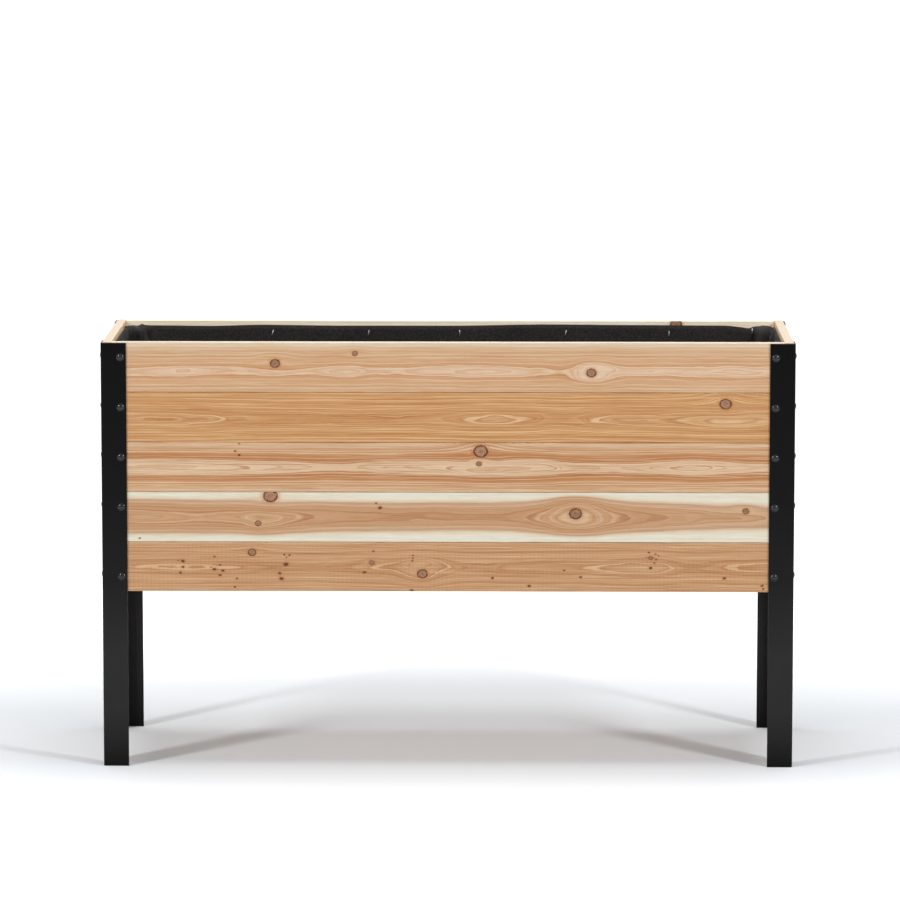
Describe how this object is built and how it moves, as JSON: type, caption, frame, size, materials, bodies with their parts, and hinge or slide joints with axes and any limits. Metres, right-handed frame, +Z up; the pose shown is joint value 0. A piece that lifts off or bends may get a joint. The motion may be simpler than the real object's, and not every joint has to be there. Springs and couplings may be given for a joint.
{
  "type": "raised planter",
  "caption": "Long waist-high cedar planter box of stacked tongue-and-groove boards, bolted into black steel angle legs, with a slatted floor and an open-topped fabric liner.",
  "frame": {"origin": "on the ground, at the bottom centre of the whole planter", "axes": "+Z up, +X along the long side towards the right seen from the front, -Y towards the front"},
  "size_m": [1.226, 0.3874, 0.7595],
  "materials": {
    "black_steel": "satin powder coat",
    "black_bolt": "semi-gloss black",
    "cedar_row_1": "planed, unfinished, with knots",
    "cedar_row_2": "planed, unfinished, with knots",
    "cedar_row_3": "planed, unfinished, with knots",
    "cedar_row_4": "planed, unfinished, with knots",
    "cedar_row_5": "planed, unfinished, with knots",
    "rough_cedar": "sawn, unfinished",
    "liner_fabric": "matt non-woven"
  },
  "bodies": {
    "root": {"leg_front_left": "black_steel", "leg_front_right": "black_steel", "leg_back_left": "black_steel", "leg_back_right": "black_steel", "front_board_1": "cedar_row_1", "front_board_2": "cedar_row_2", "front_board_3": "cedar_row_3", "front_board_4": "cedar_row_4", "front_board_5": "cedar_row_5", "back_board_1": "cedar_row_1", "back_board_2": "cedar_row_2", "back_board_3": "cedar_row_3", "back_board_4": "cedar_row_4", "back_board_5": "cedar_row_5", "left_board_1": "cedar_row_1", "left_board_2": "cedar_row_2", "left_board_3": "cedar_row_3", "left_board_4": "cedar_row_4", "left_board_5": "cedar_row_5", "right_board_1": "cedar_row_1", "right_board_2": "cedar_row_2", "right_board_3": "cedar_row_3", "right_board_4": "cedar_row_4", "right_board_5": "cedar_row_5", "bolt_front_left_1": "black_bolt", "bolt_front_left_2": "black_bolt", "bolt_front_left_3": "black_bolt", "bolt_front_left_4": "black_bolt", "bolt_front_left_5": "black_bolt", "bolt_front_right_1": "black_bolt", "bolt_front_right_2": "black_bolt", "bolt_front_right_3": "black_bolt", "bolt_front_right_4": "black_bolt", "bolt_front_right_5": "black_bolt", "bolt_back_left_1": "black_bolt", "bolt_back_left_2": "black_bolt", "bolt_back_left_3": "black_bolt", "bolt_back_left_4": "black_bolt", "bolt_back_left_5": "black_bolt", "bolt_back_right_1": "black_bolt", "bolt_back_right_2": "black_bolt", "bolt_back_right_3": "black_bolt", "bolt_back_right_4": "black_bolt", "bolt_back_right_5": "black_bolt", "ledger_front": "rough_cedar", "ledger_back": "rough_cedar", "floor_slat_1": "rough_cedar", "floor_slat_2": "rough_cedar", "floor_slat_3": "rough_cedar", "floor_slat_4": "rough_cedar", "floor_slat_5": "rough_cedar", "floor_slat_6": "rough_cedar", "floor_slat_7": "rough_cedar", "floor_slat_8": "rough_cedar", "liner": "liner_fabric"}
  },
  "joints": []
}
